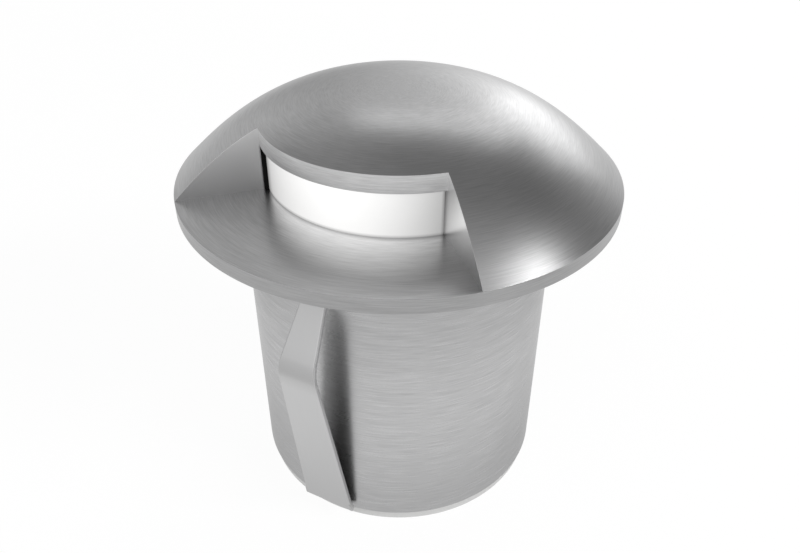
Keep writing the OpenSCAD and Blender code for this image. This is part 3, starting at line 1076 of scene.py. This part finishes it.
@dataclass
class LeafSpring:
    """Bent strip spring: hooked tab, blade, knee bend and upper leg."""

    side: Side
    tree: Tree
    material: Material
    thickness: float = 0.8
    tube_r: float = 21.5
    bore_r: float = 20.0
    tab_reach: float = 1.1
    tab_z: float = 2.15
    tab_width: float = 5.0
    tab_steps: int = 6
    foot_gap: float = 0.2
    foot_inner_r: float = 0.5
    foot_width: float = 7.9
    foot_steps: int = 10
    shoulder_step: Point2 = (0.02, 0.005)
    blade_steps: int = 24
    knee_reach: float = 6.2
    knee_z: float = 31.7
    knee_bend_r: float = 4.0
    knee_width: float = 5.3
    knee_steps: int = 20
    tip_gap: float = 0.35
    tip_z: float = 39.1
    tip_width: float = 3.5
    tip_steps: int = 10
    end_reach: float = 0.3
    blend_reach: float = 2.4
    sharp_from: float = 35.0
    bevel: float = 0.24
    bevel_from: float = 3.0

    def __post_init__(self) -> None:
        """Works out the bends from the driving sizes."""
        half = self.thickness / 2
        self.tab_end = self.bore_r - self.tab_reach
        self.shoulder = self.tube_r + self.foot_gap
        foot_x = self.shoulder + half
        knee_x = self.tube_r + self.knee_reach - half
        self.tip: Point2 = (self.tube_r + self.tip_gap + half, self.tip_z)
        self.blade_lean = math.atan2(knee_x - foot_x, self.knee_z - self.tab_z)
        self.tip_lean = math.atan2(knee_x - self.tip[0], self.tip_z - self.knee_z)
        self.foot_r = self.foot_inner_r + half
        drawn = self.foot_r * math.tan((math.pi / 2 - self.blade_lean) / 2)
        self.foot_centre: Point2 = (foot_x - drawn, self.tab_z + self.foot_r)
        lean, r = self.blade_lean, self.knee_bend_r
        drawn = r * math.tan((self.blade_lean + self.tip_lean) / 2)
        self.knee_centre: Point2 = (
            knee_x - drawn * math.sin(lean) - r * math.cos(lean),
            self.knee_z - drawn * math.cos(lean) + r * math.sin(lean),
        )
        self.knee_turn = (self.tip_lean - self.blade_lean) / 2
        self.knee: Point2 = self._on(self.knee_centre, r, self.knee_turn)
        self.sign = -1.0 if self.side is Side.FRONT else 1.0

    def line(self) -> list[StripPoint]:
        """Middle line of the strip as radius, height and whether it is tab.

        Returns:
            The points from the hooked end up to the tip.
        """
        points = [(self.tab_end, self.tab_z, True)]
        points += self._straight(
            points[0], (self.foot_centre[0], self.tab_z), self.tab_steps, on_tab=True)
        for a in self._turn(-math.pi / 2, -self.blade_lean, self.foot_steps):
            r, z = self._on(self.foot_centre, self.foot_r, a)
            if r >= self.shoulder and points[-1][2]:
                points.append((r - self.shoulder_step[0], z - self.shoulder_step[1], True))
            points.append((r, z, r < self.shoulder))
        knee_low = self._on(self.knee_centre, self.knee_bend_r, -self.blade_lean)
        points += self._straight(points[-1], knee_low, self.blade_steps)
        for a in self._turn(-self.blade_lean, self.tip_lean, self.knee_steps):
            points.append((*self._on(self.knee_centre, self.knee_bend_r, a), False))
        points += self._straight(points[-1], self.tip, self.tip_steps)
        points.append((self.tip[0] - self.end_reach * math.sin(self.tip_lean),
                       self.tip[1] + self.end_reach * math.cos(self.tip_lean), False))
        return points

    @staticmethod
    def _on(centre: Point2, r: float, a: float) -> Point2:
        """Point on a circle at an angle in radians."""
        return centre[0] + r * math.cos(a), centre[1] + r * math.sin(a)

    @staticmethod
    def _turn(start: float, end: float, steps: int) -> Iterable[float]:
        """Angles of a bend in radians, its first one left out."""
        return (start + (end - start) * i / steps for i in range(1, steps + 1))

    @staticmethod
    def _straight(a: Sequence, b: Point2, steps: int, on_tab: bool = False) -> list[StripPoint]:
        """Points of a straight stretch, its first one left out."""
        shares = (i / steps for i in range(1, steps + 1))
        return [(a[0] + (b[0] - a[0]) * t, a[1] + (b[1] - a[1]) * t, on_tab) for t in shares]

    def build(self) -> Piece:
        """Builds the strip along its line.

        Returns:
            The finished piece.
        """
        points = self.line()
        name = f"leaf_spring_{self.side.value}"
        mesh = bpy.data.meshes.new(name)
        mesh.from_pydata(
            [(0.0, self.sign * r * MM, z * MM) for r, z, _ in points],
            [(i, i + 1) for i in range(len(points) - 1)], [],
        )
        mark = mesh.attributes.new("on_tab", "FLOAT", "POINT")
        mark.data.foreach_set("value", [float(on_tab) for _, _, on_tab in points])
        piece = new_object(name, mesh)
        run_tree(piece, self.tree, {
            "Foot Width": self.foot_width * MM, "Knee Width": self.knee_width * MM,
            "Tip Width": self.tip_width * MM, "Tab Width": self.tab_width * MM,
            "Knee Height": self.knee_z * MM,
            "Top Height": (self.tip_z + self.thickness / 2) * MM, "Finish": self.material,
        })
        solid = piece.modifiers.new("Strip", "SOLIDIFY")
        solid.thickness = self.thickness * MM
        solid.offset = 0.0
        solid.use_even_offset = True
        bake_modifiers(piece)
        bm = bmesh.new()
        bm.from_mesh(piece.data)
        weight = close_mesh(bm, self.sharp_from)
        for edge in bm.edges:
            low = min(v.co.z for v in edge.verts)
            if edge[weight] > 0.0 and low < self.bevel_from * MM:
                edge[weight] = 0.0
                edge.smooth = False
        bm.to_mesh(piece.data)
        bm.free()
        break_edges(piece, self.bevel, segments=4)
        give_finish(piece, self.material)
        return piece

    def dress(self) -> None:
        """Builds the spring and hides the solids that it stands in for."""
        piece = self.build()
        body = f"spring_{self.side.value}"
        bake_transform(piece)
        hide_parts(f"{body}_blade", f"{body}_tip")
        report(piece)


# The tie screws


def round_pattern_tree() -> Tree:
    """Geometry tree that stands copies of a piece in a ring round the Z axis.

    Returns:
        The node group.
    """
    s, given, result = new_group(
        "Ring of copies",
        ("Piece", "Count", "Ring Radius", "First Angle", "Turn Each", "Finish"),
        ("Pieces",), "GeometryNodeTree")
    index = s.add("GeometryNodeInputIndex").outputs[0]
    step = s.over(2 * math.pi, given["Count"])
    angle = s.plus(s.times(index, step), given["First Angle"])
    x, y = (s.times(given["Ring Radius"], s.math(way, angle)) for way in ("COSINE", "SINE"))
    places = s.add(
        "GeometryNodePoints", {"Count": given["Count"], "Position": s.combine(x, y, 0.0)})
    turn = s.combine(0.0, 0.0, s.times(index, given["Turn Each"]))
    copies = s.add("GeometryNodeInstanceOnPoints", {
        "Points": places.outputs[0], "Instance": given["Piece"],
        "Rotation": s.add("FunctionNodeEulerToRotation", [turn]).outputs[0]})
    end_in_finish(s, copies.outputs["Instances"], given["Finish"], result["Pieces"])
    return s.tree


@dataclass
class TieScrews:
    """Three socket head screws in the rear face that draw the light together."""

    tree: Tree
    material: Material
    count: int = 3
    ring_r: float = 15.525
    first_angle: float = 90.0
    turn_each: float = 0.7
    shank_r: float = 1.5
    head_r: float = 2.75
    head_h: float = 1.7
    head_z: float = 0.4
    top_z: float = 39.75
    socket_r: float = 1.15
    socket_depth: float = 1.02
    socket_sides: int = 6
    steps: int = 36
    sharp_from: float = 40.0
    bevel: float = 0.15

    def screw(self) -> Piece:
        """Builds one screw on the Z axis, its head facing down.

        Returns:
            The piece, its edges broken.
        """
        bm = bmesh.new()
        seat = self.head_z + self.head_h
        rings = [self._ring(bm, *ring) for ring in (
            (self.socket_sides, self.socket_r, self.head_z + self.socket_depth),
            (self.socket_sides, self.socket_r, self.head_z),
            (self.steps, self.head_r, self.head_z),
            (self.steps, self.head_r, seat),
            (self.steps, self.shank_r, seat),
            (self.steps, self.shank_r, self.top_z),
        )]
        bm.faces.new(rings[0])
        bm.faces.new(rings[-1])
        for inner, outer in zip(rings, rings[1:]):
            per = len(outer) // len(inner)
            for i, corner in enumerate(inner):
                arc = [outer[(i * per + k) % len(outer)] for k in range(per, -1, -1)]
                bm.faces.new([corner, inner[(i + 1) % len(inner)], *arc])
        close_mesh(bm, self.sharp_from)
        piece = new_piece("tie_screws_set", bm)
        break_edges(piece, self.bevel)
        return piece

    @staticmethod
    def _ring(bm: Mesh, count: int, r: float, z: float) -> list[Vert]:
        """Ring of vertices at a radius and height."""
        turns = (2 * math.pi / count * i for i in range(count))
        return [bm.verts.new((r * MM * math.cos(a), r * MM * math.sin(a), z * MM)) for a in turns]

    def dress(self) -> None:
        """Builds the screws and puts them in the place of their solids."""
        piece = self.screw()
        run_tree(piece, self.tree, {
            "Count": self.count, "Ring Radius": self.ring_r * MM,
            "First Angle": self.first_angle * DEGREE, "Turn Each": self.turn_each,
            "Finish": self.material,
        })
        give_finish(piece, self.material)
        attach(piece, "root")
        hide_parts("tie_screws")
        report(piece)


# Pieces kept as solids


@dataclass
class KeptPieces:
    """Solids of the frame that keep their shape and get a finish by slot."""

    finishes: dict[str, Material]

    def dress(self) -> None:
        """Assigns a finish to every node's slot."""
        slots = {entry["node"]: entry["material_slot"] for entry in frame["record"]["subparts"]}
        for name, node in sorted(frame["nodes"].items()):
            give_finish(node, self.finishes[slots[name]])
            LOG.info("%s: %s", name, slots[name])


# Studio and view


def heading(azimuth: float, elevation: float) -> Vector:
    """Unit vector at an azimuth from +X and an elevation, in degrees."""
    a, e = math.radians(azimuth), math.radians(elevation)
    return Vector((math.cos(a) * math.cos(e), math.sin(a) * math.cos(e), math.sin(e)))


@dataclass(frozen=True)
class Softbox:
    """One area lamp that looks at the light, its sizes in degrees, its distance in metres."""

    name: str
    azimuth: float
    elevation: float
    half_width: float
    half_height: float
    radiance: float
    distance: float = 1.2

    def place(self, target: Vector) -> None:
        """Adds the lamp.

        Args:
            target: Point that it looks at.
        """
        lamp = bpy.data.lights.new(self.name, "AREA")
        lamp.shape = "RECTANGLE"
        lamp.size = 2 * self.distance * math.tan(math.radians(self.half_width))
        lamp.size_y = 2 * self.distance * math.tan(math.radians(self.half_height))
        lamp.energy = self.radiance * math.pi * lamp.size * lamp.size_y
        way = heading(self.azimuth, self.elevation)
        body = new_object(self.name, lamp)
        body.location = target + way * self.distance
        body.rotation_mode = "QUATERNION"
        body.rotation_quaternion = way.to_track_quat("Z", "Y")


@dataclass(frozen=True)
class Glow:
    """Soft bright region of the surroundings."""

    azimuth: float
    elevation: float
    sharpness: float
    radiance: float


@dataclass
class Studio:
    """Pale floor, its half width in metres, soft surroundings and lamps."""

    target_z: float = 45.0
    floor_half: float = 3.0
    floor_glow: float = 0.925
    floor_seen: float = 0.1
    mirror_reach: float = 184.0
    # Glow levels that metal mirrors: painted shade near the light's foot, full glow in a ring,
    # dimmer further out
    mirror_rings: tuple[Point2, ...] = (
        (25.0, 0.76), (29.5, 0.84), (36.0, 0.94), (44.0, 0.995), (50.0, 0.99), (56.0, 0.93),
        (63.0, 0.83), (72.0, 0.74), (92.0, 0.75),
    )
    floor_bounce: float = 0.45
    floor_paint: float = 0.5
    sky: tuple[Point2, ...] = ((0.0, 0.32), (0.4, 0.2), (0.65, 0.1), (0.85, 0.22), (1.0, 0.18))
    glows: tuple[Glow, ...] = (
        Glow(143.0, 33.0, 14.0, 0.52),
        Glow(-95.0, 35.0, 3.0, 0.95),
        Glow(94.0, 14.0, 14.0, 1.5),
        Glow(-32.0, 33.0, 12.0, 0.32),
        Glow(158.0, 9.0, 17.0, 0.42),
    )
    boxes: tuple[Softbox, ...] = (
        Softbox("behind_low", 84.0, 19.5, 14.5, 11.5, 0.8),
        Softbox("behind_high", 104.0, 41.5, 18.5, 6.5, 1.0),
        Softbox("side", 2.3, 31.4, 12.0, 2.5, 30.0),
    )

    def build(self) -> None:
        """Makes the floor, the surroundings and the lamps."""
        self._floor()
        self._surroundings()
        for box in self.boxes:
            box.place(Vector((0.0, 0.0, self.target_z * MM)))
        LOG.info("studio: %d lamps", len(self.boxes))

    def _floor(self) -> None:
        """Large pale floor that keeps the shadow."""
        half = self.floor_half
        mesh = bpy.data.meshes.new("studio_floor")
        corners = [(-half, -half, 0), (half, -half, 0), (half, half, 0), (-half, half, 0)]
        mesh.from_pydata(corners, [], [(0, 1, 2, 3)])
        floor = new_object("studio_floor", mesh)
        material = bpy.data.materials.new("studio_floor")
        s = empty_nodes(material)
        path = s.add("ShaderNodeLightPath").outputs
        glossy = path["Is Glossy Ray"]
        direct = s.math("MAXIMUM", path["Is Camera Ray"], glossy)
        seen = s.math("MAXIMUM", direct, path["Is Transmission Ray"])
        plain = s.times(s.minus(1.0, glossy), self.floor_glow)
        shown_glow = s.plus(plain, s.times(glossy, self._rings(s)))
        hidden = self._lit_paint(s, self.floor_paint, self.floor_bounce)
        shown = self._lit_paint(s, self.floor_seen, shown_glow)
        mix = s.add("ShaderNodeMixShader", [seen, hidden, shown])
        s.add("ShaderNodeOutputMaterial", [mix.outputs[0]])
        give_finish(floor, material)

    def _rings(self, s: Shading) -> Socket:
        """Glow that metal mirrors in the floor, by the distance from the light's axis, with
        painted shade near the light's foot and a dimmer floor further out.

        Args:
            s: The floor's nodes.

        Returns:
            The glow.
        """
        x, y, _ = s.split(s.place())
        away = s.over(s.radius(x, y), self.mirror_reach * MM)
        return s.ramp(away, [(r / self.mirror_reach, share) for r, share in self.mirror_rings])

    @staticmethod
    def _lit_paint(s: Shading, paint: float, glow: object) -> Socket:
        """Adds a diffuse grey and a glow of its own.

        Args:
            s: The floor's nodes.
            paint: The grey.
            glow: The glow's strength.

        Returns:
            The shader's output.
        """
        diffuse = s.add("ShaderNodeBsdfDiffuse", {"Color": (paint,) * 3}).outputs[0]
        light = s.add("ShaderNodeEmission", {"Strength": glow}).outputs[0]
        return s.add("ShaderNodeAddShader", [diffuse, light]).outputs[0]

    def _surroundings(self) -> None:
        """Surroundings that fade upwards, with a few soft bright regions."""
        world = bpy.data.worlds.new("studio_surroundings")
        bpy.context.scene.world = world
        s = empty_nodes(world)
        way = s.add("ShaderNodeTexCoord").outputs["Generated"]
        level = s.ramp(s.split(way)[2], self.sky)
        for glow in self.glows:
            pair = (way, tuple(heading(glow.azimuth, glow.elevation)))
            towards = s.add("ShaderNodeVectorMath", pair, operation="DOT_PRODUCT").outputs["Value"]
            near = s.math("POWER", s.math("MAXIMUM", towards, 0.0), glow.sharpness)
            level = s.plus(level, s.times(near, glow.radiance))
        seen = s.add("ShaderNodeLightPath").outputs["Is Camera Ray"]
        background = s.add("ShaderNodeBackground", {"Color": s.mix(seen, level, WHITE)})
        s.add("ShaderNodeOutputWorld", [background.outputs[0]])


@dataclass
class PhotoCamera:
    """Camera at the photograph's viewing angle, its clip distances in metres."""

    azimuth: float = 27.6
    elevation: float = 34.79
    distance: float = 116.66
    target_z: float = 29.19
    lens: float = 35.02
    sensor: float = 36.0
    shift_px: float = 1.01
    clip: Point2 = (0.005, 20.0)

    def build(self) -> None:
        """Makes the camera the scene's own."""
        data = bpy.data.cameras.new("photo_camera")
        data.sensor_width = self.sensor
        data.lens = self.lens
        data.shift_x = self.shift_px / IMAGE_W
        data.clip_start, data.clip_end = self.clip
        camera = new_object("photo_camera", data)
        a, e = math.radians(self.azimuth), math.radians(self.elevation)
        back = Vector((math.sin(a) * math.cos(e), -math.cos(a) * math.cos(e), math.sin(e)))
        camera.location = Vector((0.0, 0.0, self.target_z * MM)) + back * self.distance * MM
        camera.rotation_mode = "QUATERNION"
        camera.rotation_quaternion = (-back).to_track_quat("-Z", "Y")
        bpy.context.scene.camera = camera
        bpy.context.scene.view_settings.view_transform = "Standard"


# All finishes


def all_finishes(effects: Effects) -> dict[str, Material]:
    """Makes one finish for each material slot of the record.

    Args:
        effects: The shared node groups.

    Returns:
        Materials by slot.
    """
    finishes: list[Finish] = [
        CapSteel("cap_steel", (0.445, 0.445, 0.448), roughness_span=0.03, grain_width=0.13,
                 streak_turns=7.0, tone_span=0.22, scratch_depth=0.0012, contrast=0.32),
        BrushedSteel("tube_steel", (0.48, 0.48, 0.483), grain_width=0.14, tone_span=0.15,
                     scratch_depth=0.001, edge_tint=0.8),
        SpringSteel("spring_steel", (0.545, 0.545, 0.547), grain=Grain.ALONG_STRIP,
                    roughness=0.36, roughness_span=0.02, tone_span=0.01,
                    scratch_depth=0.0004, edge_tint=0.9),
        BrushedSteel("screw_steel", (0.48, 0.48, 0.485), grain_width=0.08),
        BrushedSteel("spreader_aluminium", (0.6, 0.61, 0.62), roughness=0.32,
                     grain_width=0.3, scratch_depth=0.006),
        Moulded("cover_plastic", (0.66, 0.66, 0.655), roughness=0.5, pebble=0.15, dust=0.3),
        LitLens("lens_plastic", (0.12, 0.12, 0.12)),
        Moulded("carrier_plastic", (0.72, 0.72, 0.67)),
        Moulded("chip_black", (0.02, 0.02, 0.021), pebble=0.05),
        Moulded("terminal_green", (0.03, 0.17, 0.07), roughness=0.45),
        Moulded("connector_white", (0.72, 0.72, 0.68), roughness=0.45),
        Moulded("nylon_black", (0.018, 0.018, 0.019), roughness=0.48, dust=0.25),
        Moulded("nylon_natural", (0.66, 0.65, 0.6), roughness=0.5),
        Moulded("reflector_white", (0.82, 0.82, 0.81), roughness=0.25, depth=0.001),
        Moulded("board_white", (0.78, 0.79, 0.8), roughness=0.3, pebble=0.3, depth=0.002),
        Moulded("led_yellow", (0.9, 0.6, 0.08), roughness=0.35, pebble=0.05),
        Moulded("board_green", (0.01, 0.09, 0.04), roughness=0.3, pebble=0.3, depth=0.002),
        Moulded("can_sleeve", (0.012, 0.014, 0.05), roughness=0.3, coat=0.3),
        Moulded("lead_insulation", (0.32, 0.02, 0.02), roughness=0.35),
        Moulded("black_rubber", (0.004, 0.004, 0.004), roughness=0.7, specular=0.12,
                depth=0.003),
        Moulded("pad_silicone", (0.42, 0.4, 0.46), roughness=0.75),
        Moulded("ferrite", (0.03, 0.03, 0.03), roughness=0.65, pebble=0.06, depth=0.006),
    ]
    return {finish.name: finish.material(effects) for finish in finishes}


def main() -> None:
    """Builds the light, the studio and the camera in order."""
    logging.basicConfig(level=logging.INFO, format="%(name)s %(message)s")
    PhotoCamera().build()
    materials = all_finishes(Effects())
    KeptPieces(materials).dress()
    DomeCap(materials["cap_steel"]).dress()
    Lens(materials["lens_plastic"]).dress()
    ribbon = ribbon_tree()
    for side in Side:
        LeafSpring(side, ribbon, materials["spring_steel"]).dress()
    TieScrews(round_pattern_tree(), materials["screw_steel"]).dress()
    Studio().build()


if __name__ == "__main__":
    main()
